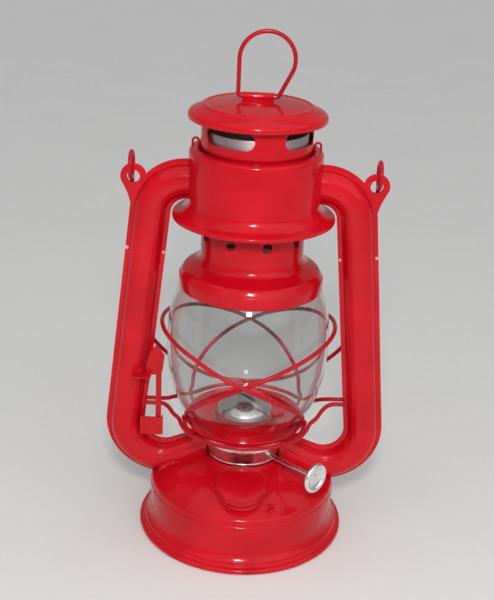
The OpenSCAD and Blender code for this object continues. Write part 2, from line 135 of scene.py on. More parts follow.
class Nodes:
    """Short words for building one material's node tree."""

    def __init__(self, name):
        self.material = bpy.data.materials.new(name)
        self.material.use_nodes = True
        self.tree = self.material.node_tree
        self.shader = self.tree.nodes["Principled BSDF"]
        self.out = self.tree.nodes["Material Output"]
        self.place = self.add("ShaderNodeTexCoord").outputs["Object"]

    def add(self, kind, **values):
        node = self.tree.nodes.new(kind)
        for key, value in values.items():
            setattr(node, key, value)
        return node

    def link(self, source, target):
        self.tree.links.new(source, target)

    def noise(self, scale, detail=3, rough=0.5, place=None):
        node = self.add("ShaderNodeTexNoise")
        node.inputs["Scale"].default_value = scale
        node.inputs["Detail"].default_value = detail
        node.inputs["Roughness"].default_value = rough
        self.link(place or self.place, node.inputs["Vector"])
        return node.outputs["Fac"]

    def cells(self, scale):
        node = self.add("ShaderNodeTexVoronoi")
        node.inputs["Scale"].default_value = scale
        self.link(self.place, node.inputs["Vector"])
        return node

    def stretched(self, x, y, z):
        node = self.add("ShaderNodeMapping")
        node.inputs["Scale"].default_value = (x, y, z)
        self.link(self.place, node.inputs["Vector"])
        return node.outputs["Vector"]

    def remap(self, value, low, high, to_low=0.0, to_high=1.0):
        node = self.add("ShaderNodeMapRange")
        node.inputs["From Min"].default_value = low
        node.inputs["From Max"].default_value = high
        node.inputs["To Min"].default_value = to_low
        node.inputs["To Max"].default_value = to_high
        self.link(value, node.inputs["Value"])
        return node.outputs["Result"]

    def blend(self, factor, a, b):
        node = self.add("ShaderNodeMix", data_type="RGBA")
        self.link(factor, node.inputs["Factor"])
        for socket, colour in (("A", a), ("B", b)):
            end = next(s for s in node.inputs if s.name == socket and s.type == "RGBA")
            if isinstance(colour, tuple):
                end.default_value = (*colour, 1)
            else:
                self.link(colour, end)
        return next(s for s in node.outputs if s.type == "RGBA")

    def maths(self, operation, a, b):
        node = self.add("ShaderNodeMath", operation=operation)
        for socket, value in zip(node.inputs, (a, b)):
            if isinstance(value, (int, float)):
                socket.default_value = value
            else:
                self.link(value, socket)
        return node.outputs[0]

    def bump(self, height, distance, strength=1.0, under=None):
        node = self.add("ShaderNodeBump")
        node.inputs["Strength"].default_value = strength
        node.inputs["Distance"].default_value = distance
        self.link(height, node.inputs["Height"])
        if under is not None:
            self.link(under, node.inputs["Normal"])
        return node.outputs["Normal"]

    def set(self, **values):
        for key, value in values.items():
            self.shader.inputs[key.replace("_", " ")].default_value = value


def enamel(name, colour, deep, gloss, flecks):
    """Sprayed enamel: orange peel, a slow change of shade, a few thin spots and dark flecks."""
    n = Nodes(name)
    shade = n.remap(n.noise(38, 2), 0.35, 0.65)
    paint = n.blend(shade, colour, deep)
    thin = n.remap(n.noise(420, 4, 0.6), 0.7, 0.78, 0, 0.35)
    paint = n.blend(thin, paint, (0.80, 0.10, 0.10))
    fleck = n.remap(n.noise(260, 6, 0.7), flecks, flecks + 0.02)
    paint = n.blend(fleck, paint, (0.16, 0.02, 0.02))
    n.link(paint, n.shader.inputs["Base Color"])
    smear = n.remap(n.noise(95, 4, 0.6), 0.3, 0.7, gloss, gloss + 0.12)
    n.link(n.maths("ADD", smear, n.maths("MULTIPLY", fleck, 0.35)), n.shader.inputs["Roughness"])
    dents = n.bump(n.noise(32, 1), 0.0016, 0.35)
    peel = n.bump(n.noise(620, 2), 0.00012, 0.22, dents)
    n.link(n.bump(fleck, -0.0002, 0.6, peel), n.shader.inputs["Normal"])
    n.set(Coat_Weight=0.25, Coat_Roughness=0.03, Specular_IOR_Level=0.14)
    return n.material


def tinplate(name, colour, rough, stain):
    """Tinned steel: faint spangle, drawing streaks and warm stains that shine less."""
    n = Nodes(name)
    spangle = n.remap(n.cells(240).outputs["Color"], 0, 1)
    light = tuple(min(1, c * 1.12) for c in colour)
    metal = n.blend(spangle, colour, light)
    spots = n.remap(n.noise(120, 5, 0.65), 0.56, 0.74, 0, stain)
    metal = n.blend(spots, metal, (0.30, 0.22, 0.15))
    n.link(metal, n.shader.inputs["Base Color"])
    streak = n.noise(1, 3, 0.6, n.stretched(90, 90, 2600))
    wear = n.maths("ADD", n.remap(streak, 0.3, 0.7, rough, rough + 0.12),
                   n.maths("MULTIPLY", spots, 0.3))
    n.link(wear, n.shader.inputs["Roughness"])
    grain = n.bump(streak, 0.00004, 0.35)
    n.link(n.bump(n.noise(70, 2), 0.0006, 0.25, grain), n.shader.inputs["Normal"])
    n.set(Metallic=1.0)
    return n.material


def clear_glass(name):
    """Blown glass, grey from a faint tint and painted shade, with slow waves and smudges; lamp
    light passes through it.
    """
    n = Nodes(name)
    smudge = n.remap(n.noise(75, 4, 0.6), 0.55, 0.8, 0.0, 0.05)
    n.link(smudge, n.shader.inputs["Roughness"])
    # grey tint: partly the glass's own faint tint, partly painted shade for the shadowed wall seen
    # through the globe
    tint_and_shade = n.blend(n.noise(20, 1), (0.78, 0.785, 0.78), (0.84, 0.845, 0.84))
    n.link(tint_and_shade, n.shader.inputs["Base Color"])
    waves = n.noise(1, 1, 0.4, n.stretched(26, 26, 60))
    n.link(n.bump(waves, 0.0012, 0.25), n.shader.inputs["Normal"])
    n.set(Transmission_Weight=1.0, IOR=1.45)
    path = n.add("ShaderNodeLightPath")
    clear = n.add("ShaderNodeBsdfTransparent")
    clear.inputs["Color"].default_value = (0.93, 0.94, 0.935, 1)
    mix = n.add("ShaderNodeMixShader")
    n.link(path.outputs["Is Shadow Ray"], mix.inputs[0])
    n.link(n.shader.outputs[0], mix.inputs[1])
    n.link(clear.outputs[0], mix.inputs[2])
    n.link(mix.outputs[0], n.out.inputs["Surface"])
    return n.material


def cotton(name, char_from, char_to):
    """Woven cotton tape, browned and then charred towards its top."""
    n = Nodes(name)
    turned = n.add("ShaderNodeMapping")
    turned.inputs["Rotation"].default_value = (0, 0, -SHAFT_TURN)
    n.link(n.place, turned.inputs["Vector"])
    across = n.add("ShaderNodeTexWave", bands_direction="X")
    along = n.add("ShaderNodeTexWave", bands_direction="Z")
    for wave in (across, along):
        wave.inputs["Scale"].default_value = 420
        wave.inputs["Distortion"].default_value = 1.2
        wave.inputs["Detail"].default_value = 2
        n.link(turned.outputs["Vector"], wave.inputs["Vector"])
    weave = n.maths("MULTIPLY", across.outputs["Fac"], along.outputs["Fac"])
    split = n.add("ShaderNodeSeparateXYZ")
    n.link(n.place, split.inputs[0])
    ragged = n.maths("ADD", split.outputs["Z"], n.maths("MULTIPLY", n.noise(600, 3), 0.003))
    burnt = n.remap(ragged, char_from * MM, char_to * MM)
    cloth = n.blend(weave, (0.42, 0.38, 0.30), (0.80, 0.76, 0.66))
    n.link(n.blend(burnt, cloth, (0.02, 0.016, 0.013)), n.shader.inputs["Base Color"])
    n.link(n.bump(weave, 0.0003, 0.8), n.shader.inputs["Normal"])
    n.set(Roughness=0.92, Sheen_Weight=0.3, Sheen_Roughness=0.5)
    return n.material


def cork(name):
    """Pressed cork, speckled brown."""
    n = Nodes(name)
    cell = n.cells(900)
    grains = n.remap(cell.outputs["Color"], 0, 1)
    brown = n.blend(grains, (0.20, 0.11, 0.05), (0.48, 0.31, 0.17))
    n.link(brown, n.shader.inputs["Base Color"])
    n.link(n.bump(cell.outputs["Distance"], 0.0002, 0.7), n.shader.inputs["Normal"])
    n.set(Roughness=0.85)
    return n.material


RED = enamel("red_enamel_paint", (0.60, 0.004, 0.014), (0.50, 0.002, 0.009), 0.10, 0.74)
WIRE = enamel("red_wire_paint", (0.50, 0.004, 0.016), (0.38, 0.002, 0.010), 0.20, 0.70)
TIN = tinplate("tin_plate", (0.70, 0.69, 0.67), 0.20, 0.35)
BRIGHT = tinplate("tin_plate_bright", (0.80, 0.79, 0.77), 0.16, 0.12)
# inside tinplate: warm stains, plus a dark base that is painted shade inside the chimney and a pink
# cast that is a painted reflection of the red enamel
STAINED_SHADED_TIN = tinplate("tin_plate_shaded_inside", (0.46, 0.38, 0.39), 0.42, 0.6)
# pale enamel of the crimp dimples: a painted highlight on their tops
PALE_GLINT = enamel("pale_glint_enamel", (0.80, 0.42, 0.40), (0.72, 0.25, 0.24), 0.16, 0.76)
GLASS = clear_glass("blown_glass")
COTTON = cotton("cotton_tape", 66.5, 70.5)
CORK = cork("pressed_cork")


# ---- mesh helpers ----------------------------------------------------------------------------

def arc(x, y, r, start, end, n):
    """The n + 1 points along an arc, angles in degrees."""
    angles = [math.radians(start + (end - start) * i / n) for i in range(n + 1)]
    return [(x + r * math.cos(a), y + r * math.sin(a)) for a in angles]


def filleted(path, radius, n=4):
    """An open path with its sharp corners rounded."""
    points = [Vector(p) for p in path]
    result = [points[0]]
    for before, corner, after in zip(points, points[1:], points[2:]):
        into = before - corner
        out = after - corner
        turn = math.pi - into.angle(out)
        if turn < math.radians(12):
            result.append(corner)
            continue
        reach = min(radius * math.tan(turn / 2), 0.45 * into.length, 0.45 * out.length)
        a = corner + into.normalized() * reach
        b = corner + out.normalized() * reach
        for i in range(n + 1):
            t = i / n
            result.append(a * (1 - t) ** 2 + corner * 2 * t * (1 - t) + b * t * t)
    result.append(points[-1])
    return result


def aside_signed(path, t):
    """The path moved sideways by t to its right."""
    result = []
    for i, p in enumerate(path):
        d = (path[min(i + 1, len(path) - 1)] - path[max(i - 1, 0)]).normalized()
        result.append(Vector((p.x + t * d.y, p.y - t * d.x)))
    return result


def aside(path, t):
    """The path moved sideways by t to its right, but never across the axis."""
    return [Vector((max(0.0, p.x), p.y)) for p in aside_signed(path, t)]


def half_turn(a, b, n=4):
    """Points of a half circle from a to b, without its ends, bulging to the left of a to b."""
    middle = (a + b) / 2
    arm = a - middle
    turned = Vector((-arm.y, arm.x)) * -1
    steps = [math.pi * i / n for i in range(1, n)]
    return [middle + arm * math.cos(s) + turned * math.sin(s) for s in steps]


def sheet_outline(path, t=SHEET, fillet=0.8):
    """Closed outline of sheet metal whose outer face follows the path, with rounded edges."""
    outer = filleted(path, fillet)
    inner = aside(outer, t)
    start_round = [] if outer[0].x < 1e-6 else half_turn(inner[0], outer[0])
    end_round = [] if outer[-1].x < 1e-6 else half_turn(outer[-1], inner[-1])
    return outer + end_round + inner[::-1] + start_round


def revolve(outline, turns=TURNS):
    """Vertices and faces of a closed outline of (r, z) turned about the axis."""
    verts = []
    rings = []
    for r, z in outline:
        if r < 1e-6:
            rings.append([len(verts)] * turns)
            verts.append(Vector((0, 0, z)))
            continue
        rings.append(list(range(len(verts), len(verts) + turns)))
        for k in range(turns):
            a = 2 * math.pi * k / turns
            verts.append(Vector((r * math.cos(a), r * math.sin(a), z)))
    faces = []
    for ring, follow in zip(rings, rings[1:] + rings[:1]):
        for k in range(turns):
            m = (k + 1) % turns
            corners = [ring[k], ring[m], follow[m], follow[k]]
            face = list(dict.fromkeys(corners))
            if len(face) > 2:
                faces.append(face)
    return verts, faces


def loft(rings):
    """Vertices and faces between equally long rings, with the two ends as the last faces."""
    n = len(rings[0])
    verts = [Vector(v) for ring in rings for v in ring]
    faces = []
    for i in range(len(rings) - 1):
        for k in range(n):
            m = (k + 1) % n
            faces.append([i * n + k, i * n + m, (i + 1) * n + m, (i + 1) * n + k])
    faces.append(list(range(n - 1, -1, -1)))
    faces.append([(len(rings) - 1) * n + k for k in range(n)])
    return verts, faces


def smooth_line(points, step=1.2, closed=False):
    """A smooth 3-D curve through the points, sampled about every step mm."""
    p = [Vector(v) for v in points]
    n = len(p)
    result = []
    for i in range(n if closed else n - 1):
        if closed:
            a, b, c, d = p[i - 1], p[i], p[(i + 1) % n], p[(i + 2) % n]
        else:
            a, b, c, d = p[max(i - 1, 0)], p[i], p[i + 1], p[min(i + 2, n - 1)]
        parts = max(1, round((c - b).length / step))
        for k in range(parts):
            t = k / parts
            result.append(0.5 * (2 * b + (c - a) * t + (2 * a - 5 * b + 4 * c - d) * t * t
                                 + (3 * b - a - 3 * c + d) * t ** 3))
    if not closed:
        result.append(p[-1])
    return result


def wire(points, d, closed=False, sides=14, wobble=0.02, seed=1):
    """A round wire along a smooth line, a little uneven as bent wire is, with rounded ends."""
    n = len(points)
    rings = []
    side = None
    for i, p in enumerate(points):
        if closed:
            along = (points[(i + 1) % n] - points[i - 1]).normalized()
        else:
            along = (points[min(i + 1, n - 1)] - points[max(i - 1, 0)]).normalized()
        guess = side or along.orthogonal()
        side = (guess - along * guess.dot(along)).normalized()
        up = along.cross(side)
        r = d / 2 * (1 + wobble * noise.noise(p * 0.12 + Vector((seed, 0, 0))))
        steps = [(r, 0.0)]
        if not closed and i in (0, n - 1):
            outward = -along if i == 0 else along
            steps = [(r * math.cos(a), r * math.sin(a)) for a in (0.0, 0.45, 0.85, 1.2, 1.45)]
            if i == 0:
                steps.reverse()
        for radius, shift in steps:
            centre = p if shift == 0 else p + outward * shift
            rings.append([
                centre + radius * (math.cos(t) * side + math.sin(t) * up)
                for t in (2 * math.pi * k / sides for k in range(sides))
            ])
    if not closed:
        return loft(rings)
    # a closed wire's last ring meets its first at the turn that the carried side has gathered
    first = points[0]
    gap = (rings[-1][0] - points[-1]).normalized()
    shift = max(range(sides), key=lambda k: (rings[0][k] - first).normalized().dot(gap))
    rings.append(rings[0][shift:] + rings[0][:shift])
    verts, faces = loft(rings)
    return verts, faces[:-2]


def extrude(outline, low, high, axis="x"):
    """A flat outline pushed along an axis."""
    def at(u, v, w):
        return {"x": (w, u, v), "y": (u, w, v), "z": (u, v, w)}[axis]
    return loft([[at(*p, low) for p in outline], [at(*p, high) for p in outline]])


def add_object(name, data):
    """A new object of the scene that holds the data."""
    obj = bpy.data.objects.new(name, data)
    bpy.context.scene.collection.objects.link(obj)
    return obj


def build(name, shape, bevel=0.0, angle=SHARP):
    """A mesh object from vertices in mm and faces, shaded smooth but for its sharp edges."""
    verts, faces = shape
    mesh = bpy.data.meshes.new(name)
    mesh.from_pydata([Vector(v) * MM for v in verts], [], faces)
    obj = add_object(name, mesh)
    tidy(obj)
    if bevel:
        soften(obj, bevel)
    smooth(obj, angle)
    return obj


def tidy(obj):
    """Joins doubled vertices and turns all faces outward."""
    b = bmesh.new()
    b.from_mesh(obj.data)
    bmesh.ops.remove_doubles(b, verts=b.verts, dist=1e-7)
    bmesh.ops.recalc_face_normals(b, faces=b.faces)
    b.to_mesh(obj.data)
    b.free()


def smooth(obj, angle=SHARP):
    """Shades smooth, keeping edges sharper than the angle."""
    obj.data.polygons.foreach_set("use_smooth", [True] * len(obj.data.polygons))
    obj.data.set_sharp_from_angle(angle=math.radians(angle))


def bake_modifiers(obj):
    """Puts the result of an object's modifiers into its own mesh."""
    graph = bpy.context.evaluated_depsgraph_get()
    made = bpy.data.meshes.new_from_object(obj.evaluated_get(graph))
    obj.modifiers.clear()
    obj.data = made


def soften(obj, width):
    """Rounds the sharp edges by a width in mm."""
    bevel = obj.modifiers.new("round", "BEVEL")
    bevel.width = width * MM
    bevel.segments = 3
    bevel.limit_method = "ANGLE"
    bevel.angle_limit = math.radians(40)
    bake_modifiers(obj)


def cut(obj, *cutters):
    """Takes the cutters' shapes out of an object and removes them."""
    for cutter in cutters:
        change = obj.modifiers.new("cut", "BOOLEAN")
        change.object = cutter
        change.operation = "DIFFERENCE"
        change.solver = "EXACT"
    bake_modifiers(obj)
    for cutter in cutters:
        bpy.data.objects.remove(cutter)
    smooth(obj)


def piece(obj, body, material, slot, *nodes):
    """Finishes a piece: its material, the body it rides on and the CAD nodes it stands for."""
    obj.data.materials.clear()
    obj.data.materials.append(material)
    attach(obj, body)
    if nodes:
        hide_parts(*nodes)


def moved(shape, matrix):
    """The same shape in another place."""
    verts, faces = shape
    return [matrix @ Vector(v) for v in verts], faces


def side_words(side, back):
    """Words for the name of a half: side is -1 on the left, and back is 1 at the back."""
    return "left" if side < 0 else "right", "back" if back > 0 else "front"


AT_FILLER = Matrix.Translation(FILLER_AT) @ Matrix.Rotation(FILLER_TILT, 4, "X")
AT_SHAFT = (Matrix.Rotation(SHAFT_TURN, 4, "Z") @ Matrix.Translation((0, SHAFT_SIDE, SHAFT_Z))
            @ Matrix.Rotation(math.pi / 2, 4, "Y"))


# ---- tank ------------------------------------------------------------------------------------

FLAT_R = 20
DOME_EDGE_R = 47.5
DOME_EDGE_Z = 29.4
DOME_BULGE = 4.6


def dome_z(r):
    """Height of the dome's outer face at radius r."""
    t = (r - FLAT_R) / (DOME_EDGE_R - FLAT_R)
    return DOME_H - (DOME_H - DOME_EDGE_Z) * t + DOME_BULGE * t * (1 - t)


DOME_LINE = ([(13.5, DOME_H), (FLAT_R, DOME_H)] + [(r, dome_z(r)) for r in range(22, 45, 2)]
             + arc(TANK_R - 2.4, 27, 2.4, 62, 0, 7))


def tank():
    """The flared shell with its rolled foot, and the domed top folded over it."""
    flare = arc(TANK_R + 8.3, 11.6, 8.3, 180, 228, 12)
    step = [(FOOT_R - 2.9, 4.2), (FOOT_R - 2.1, 3.7), (FOOT_R - 1.9, 3.1)]
    wall = [(TANK_R - 0.8, 27), (TANK_R - 0.8, 24.6), (TANK_R, 23.8), (TANK_R, 13)] + flare + step
    outer = filleted(wall, 0.7)
    roll = [Vector(p) for p in arc(FOOT_R - 1.5, 1.5, 1.5, 62, -212, 20)]
    shell = build("tank_body", revolve(outer + roll + aside(outer, SHEET)[::-1]))
    piece(shell, "frame", RED, "red_enamel", "tank_shell")
    seam = [(TANK_R, 25), (TANK_R + 0.4, 24.5), (TANK_R + 0.35, 24), (TANK_R, 23.9)]
    dome = build("tank_dome", revolve(sheet_outline(DOME_LINE + seam)))
    hole = [(0, -14), (FILLER_NECK_R - 0.05, -14), (FILLER_NECK_R - 0.05, 10), (0, 10)]
    cut(dome, build("filler_hole", moved(revolve(hole, 64), AT_FILLER)))
    piece(dome, "frame", RED, "red_enamel", "tank_top")


def filler():
    """The filler neck with its painted foot, and the domed cap with a rolled lip."""
    neck_line = [(FILLER_NECK_R + 0.9, -3.4), (FILLER_NECK_R, -2.4), (FILLER_NECK_R, 2.2),
                 (FILLER_NECK_R - SHEET, 2.2), (FILLER_NECK_R - SHEET, -8.5), (FILLER_NECK_R, -8.5)]
    neck = build("filler_collar", moved(revolve(neck_line, 96), AT_FILLER))
    piece(neck, "frame", RED, "red_enamel", "filler_neck")
    crown = [(0, CAP_H + 0.9), (6, CAP_H + 0.7), (10.2, CAP_H + 0.1)]
    edge = arc(CAP_R - 2.1, CAP_H - 2.0, 1.7, 78, 0, 6)
    lip = [(CAP_R - 0.4, 1.1)] + arc(CAP_R - 0.5, 0.5, 0.5, 60, -90, 5)
    bore = [(FILLER_NECK_R + 0.06, 0), (FILLER_NECK_R + 0.06, 3.2), (0, 3.2)]
    outline = filleted(crown + edge, 3) + [Vector(p) for p in lip + bore]
    cap = build("filler_lid", moved(revolve(outline, 128), AT_FILLER))
    piece(cap, "filler_cap", RED, "red_enamel", "filler_cap")


# ---- burner ----------------------------------------------------------------------------------

def burner():
    """The domed burner cone with its flame slot, and the wick with a charred tip."""
    wide = 15.9
    tall = 11.5
    dome = [(wide * x, CONE_H - tall * (1 - y)) for x, y in arc(0, 0, 1, 90, 26, 14)]
    skirt = [(14.95, CONE_H - 8.4), (14.9, 65.5), (15.3, 62), (15.3, 58.2), (15.9, 57.7)]
    cone = build("burner_dome", revolve(sheet_outline(dome + skirt, 0.5, 1.2)))
    ends = arc(5.35, 0, 1.4, -90, 90, 10) + arc(-5.35, 0, 1.4, 90, 270, 10)
    turned = Matrix.Rotation(SHAFT_TURN, 4, "Z")
    cut(cone, build("flame_slot", moved(extrude(ends, 68, 80, "z"), turned)))
    piece(cone, "frame", BRIGHT, "tinplate", "burner_cone")
    low, high = box_of("wick")
    half_wide = 5.95
    half_thick = 0.62
    rows = 24
    around = 48
    rings = []
    for i in range(rows + 1):
        z = low.z + (high.z - low.z) * i / rows
        ring = []
        for k in range(around):
            a = 2 * math.pi * k / around
            x = half_wide * math.copysign(abs(math.cos(a)) ** 0.35, math.cos(a))
            y = half_thick * math.copysign(abs(math.sin(a)) ** 0.6, math.sin(a))
            ring.append(turned @ Vector((x, y * (1 + 0.08 * math.cos(x * 5.2)), z)))
        rings.append(ring)
    tape = build("wick_tape", loft(rings), angle=60)
    piece(tape, "wick", COTTON, "cotton", "wick")


def wick_control():
    """The wick shaft, hammered flat for a stretch, and the dished knob with its rolled rim."""
    rings = []
    start = -13.4
    end = KNOB_REACH - 2.2
    flat_at = 32
    rows = 60
    around = 20
    for i in range(rows + 1):
        x = start + (end - start) * i / rows
        flat = max(0.0, 1 - ((x - flat_at) / 9) ** 4)
        wide = SHAFT_D / 2 * (1 + 0.28 * flat)
        thick = SHAFT_D / 2 * (1 - 0.35 * flat)
        rings.append([(thick * math.cos(t), wide * math.sin(t), x)
                      for t in (2 * math.pi * k / around for k in range(around))])
    rod = build("wick_rod", moved(loft(rings), AT_SHAFT))
    piece(rod, "wick_control", BRIGHT, "tinplate", "wick_shaft")
    rivet = [(0, -0.15), (1.1, -0.2), (1.75, -0.38), (1.95, -0.62)]
    dish = [(2.6, -0.62), (4.2, -0.2), (5.1, 0.25)]
    rim = arc(6.65, 0, 1.35, 160, -150, 22)
    under = [(4.3, -0.8), (2.7, -1.24), (2.1, -1.3), (2.1, -1.95), (1.85, -2.2), (0, -2.2)]
    outline = [Vector(p) for p in rivet + dish + rim + under]
    at_knob = AT_SHAFT @ Matrix.Translation((0, 0, KNOB_REACH))
    knob = build("knob_disc", moved(revolve(outline, 96), at_knob), angle=50)
    piece(knob, "wick_control", BRIGHT, "tinplate", "wick_knob")


# ---- air tubes -------------------------------------------------------------------------------

def half_section(flange):
    """Outline of a pressed half: (u, v), v = 0 at the seam and negative outward, with flanges."""
    w = TUBE_W / 2
    root = w - 0.5
    bulge = 2.5
    crease_u = 4.6
    outer = []
    for i in range(-20, 21):
        u = root * math.sin(math.radians(4.5 * i))
        depth = TUBE_D / 2 * (1 - abs(u / w) ** bulge) ** (1 / bulge)
        crease = 0.16 * math.exp(-((abs(u) - crease_u) / 0.55) ** 2)
        outer.append((u, -depth + crease))
    outer = [p for p in outer if p[1] < -SEAM_T - 0.4]
    left = arc(-flange + SEAM_T / 2, -SEAM_T / 2, SEAM_T / 2, 90, 270, 5)
    right = arc(flange - SEAM_T / 2, -SEAM_T / 2, SEAM_T / 2, -90, 90, 5)
    step_left = arc(-w - 0.45, -SEAM_T - 0.5, 0.5, 90, 0, 4)
    step_right = arc(w + 0.45, -SEAM_T - 0.5, 0.5, 180, 90, 4)
    inner = [(u * (w - SHEET) / w, -max(0.0, -v - SHEET)) for u, v in outer]
    inner = [(-w + SHEET, 0)] + inner + [(w - SHEET, 0)]
    return left + step_left + outer + step_right + right + inner[::-1]


def bend_centre(r, z):
    """Centre of a bend at height z that runs into the leaning leg."""
    lean = math.radians(LEG_LEAN)
    x = LEG_X + (LEG_Z - z - r * math.sin(lean)) * math.tan(lean) - r * math.cos(lean)
    return Vector((x, z))


UPPER = bend_centre(TOP_BEND, TUBE_TOP - TOP_BEND)
LOWER = bend_centre(LOW_BEND, LOW_Z)
ARM_ANGLE = -90 - ARM_RISE


def polar(angle):
    """Unit vector at an angle in degrees."""
    return Vector((math.cos(math.radians(angle)), math.sin(math.radians(angle))))


def tube_line():
    """Stations of a tube: its centre as (x, z), its outward angle and the arm's share so far."""
    in_steps = 6
    top_steps = 24
    leg_steps = 40
    low_steps = 28
    arm_steps = 18
    stations = []
    for i in range(in_steps):
        x = TUBE_IN + (UPPER.x - TUBE_IN) * i / in_steps
        stations.append((Vector((x, TUBE_TOP)), 90, 0))
    for i in range(top_steps + 1):
        angle = 90 + (LEG_LEAN - 90) * i / top_steps
        stations.append((UPPER + TOP_BEND * polar(angle), angle, 0))
    top = stations[-1][0]
    foot = LOWER + LOW_BEND * polar(LEG_LEAN)
    for i in range(1, leg_steps):
        stations.append((top.lerp(foot, i / leg_steps), LEG_LEAN, 0))
    for i in range(low_steps + 1):
        angle = LEG_LEAN + (ARM_ANGLE - LEG_LEAN) * i / low_steps
        stations.append((LOWER + LOW_BEND * polar(angle), angle, 0))
    start = stations[-1][0]
    length = (start.x - ARM_END) / math.cos(math.radians(ARM_RISE))
    for i in range(1, arm_steps + 1):
        along = length * i / arm_steps
        stations.append((start + along * polar(ARM_ANGLE - 90), ARM_ANGLE, i / arm_steps))
    return stations


def tube_half(side, back):
    """One pressed half of an air tube, a little dented, with folds inside its lower bend."""
    fold_angle = -62
    rings = []
    for centre, angle, run in tube_line():
        flange = SEAM_W / 2 - min(1, run * 2)
        out = polar(angle)
        dent = 0.05 * noise.noise(Vector((centre.x, centre.y, 7 * side + back)) * 0.06)
        low_bend = max(0.0, 1 - ((angle - fold_angle) / 50) ** 2)
        ring = []
        for u, v in half_section(flange):
            x = centre.x + out.x * u
            z = centre.y + out.y * u
            inside = max(0.0, min(1.0, (2 - u) / 5)) if v < -2 else 0
            fold = noise.noise(Vector((0.32 * angle, 0.22 * u, 5 * side + 3 * back)))
            ring.append((side * x, -back * v * (1 + dent + 0.07 * fold * low_bend * inside), z))
        rings.append(ring)
    words = side_words(side, back)
    half = build("air_tube_%s_%s" % words, loft(rings))
    in_tank = [(0, 4), (0, DOME_H)] + DOME_LINE + [(TANK_R, 4)]
    in_drum = [(0, 34), (DRUM_R - 0.6, 34), (DRUM_R - 0.6, 66), (0, 66)]
    tank_cutter = build("dome_cutter", revolve(in_tank, 96))
    drum_cutter = build("drum_cutter", revolve(in_drum, 96))
    cut(half, tank_cutter, drum_cutter)
    piece(half, "frame", RED, "red_enamel", "%s_tube_%s" % words)


def tubes():
    """The four pressed halves of the two air tubes."""
    for side in (-1, 1):
        for back in (-1, 1):
            tube_half(side, back)


def ear_outline():
    """The ear's plate: a round eye that runs down into the outer seam."""
    top = arc(EAR_X, EAR_Z, EAR_R, 200, -38, 26)
    edge_x = (UPPER + (TOP_BEND + SEAM_W / 2 - 0.4) * polar(LEG_LEAN)).x
    return top + [(edge_x + 1.6, 184.5), (edge_x, 179), (edge_x - 2.4, 174), (51, 178), (48, 190)]


def ears():
    """Ears for the bail, one plate on each half of each tube, cut away where the tube bends."""
    bend_r = 25.5
    deep = 3
    for side in (-1, 1):
        for back in (-1, 1):
            outline = [(side * x, z) for x, z in ear_outline()]
            low, high = sorted((0.02 * back, SEAM_T * back))
            name = "bail_ear_%s_%s" % side_words(side, back)
            ear = build(name, extrude(outline, low, high, "y"), 0.15)
            hole = arc(side * EAR_X, EAR_Z, EAR_HOLE_R, 0, 345, 23)
            bend = [(side * x, z) for x, z in arc(UPPER.x, UPPER.y, bend_r, 0, 355, 71)]
            hole_cutter = build("ear_hole", extrude(hole, -deep, deep, "y"))
            bend_cutter = build("ear_bend", extrude(bend, -deep, deep, "y"))
            cut(ear, hole_cutter, bend_cutter)
            piece(ear, "frame", RED, "red_enamel")


def crimps():
    """Small punched dimples that hold the seam flanges together, painted pale as a painted
    highlight.
    """
    profile = [(0, 0.5), (0.55, 0.42), (0.9, 0.14), (1.0, -0.2), (0, -0.2)]
    leg_top = UPPER + TOP_BEND * polar(LEG_LEAN)
    x = leg_top.x + (leg_top.y - CRIMP_Z) * math.tan(math.radians(LEG_LEAN))
    for side in (-1, 1):
        for edge in (-1, 1):
            spot = Vector((x, CRIMP_Z)) + edge * (SEAM_W / 2 - 0.85) * polar(LEG_LEAN)
            for back in (-1, 1):
                turn = Matrix.Rotation(-back * math.pi / 2, 4, "X")
                at = Matrix.Translation((side * spot.x, back * SEAM_T, spot.y)) @ turn
                side_word, back_word = side_words(side, back)
                edge_word = "outer" if edge > 0 else "inner"
                name = "crimp_%s_%s_%s" % (side_word, edge_word, back_word)
                dot = build(name, moved(revolve(profile, 20), at), angle=60)
                # each dimple is painted pale enamel, a painted highlight
                piece(dot, "frame", PALE_GLINT, "red_enamel")


def blob(name, centre, size, seed):
    """A lump of solder or paint under the enamel, flat and uneven."""
    b = bmesh.new()
    bmesh.ops.create_icosphere(b, subdivisions=4, radius=1)
    for v in b.verts:
        swell = 1 + 0.3 * noise.noise(v.co * 1.7 + Vector((seed, 0, 0)))
        v.co = Vector(part * wide for part, wide in zip(v.co * swell, size)) + Vector(centre)
    mesh = bpy.data.meshes.new(name)
    b.to_mesh(mesh)
    b.free()
    mesh.transform(Matrix.Scale(MM, 4))
    obj = add_object(name, mesh)
    smooth(obj, 180)
    piece(obj, "frame", RED, "red_enamel")


def solder():
    """Solder where the arms meet the dome, and paint runs beside the filler cap."""
    lumps = ((43.6, 6.6, 31.4, 1.5), (41.7, 7.5, 33.6, 2.2), (39.6, 7.8, 35.6, 1.9),
             (37.2, 7.6, 36.4, 1.5), (34.6, 7.4, 37.0, 1.1))
    runs = ((15.4, -39.4), (16.2, -41.2), (14.6, -42.2))
    random.seed(11)
    for side in (-1, 1):
        for back in (-1, 1):
            for i, (x, y, z, r) in enumerate(lumps):
                size = (r * random.uniform(0.9, 1.2), r * random.uniform(0.55, 0.7), r * 0.8)
                name = "solder_%s_%s_%d" % (*side_words(side, back), i + 1)
                blob(name, (side * x, back * y, z), size, 3 * i + side + back)
    for i, (x, y) in enumerate(runs):
        z = dome_z(math.hypot(x, y)) + 0.05
        blob("paint_run_%d" % (i + 1), (x, y, z), (1.5, 1.8, 0.6), 20 + i)


# ---- hood ------------------------------------------------------------------------------------

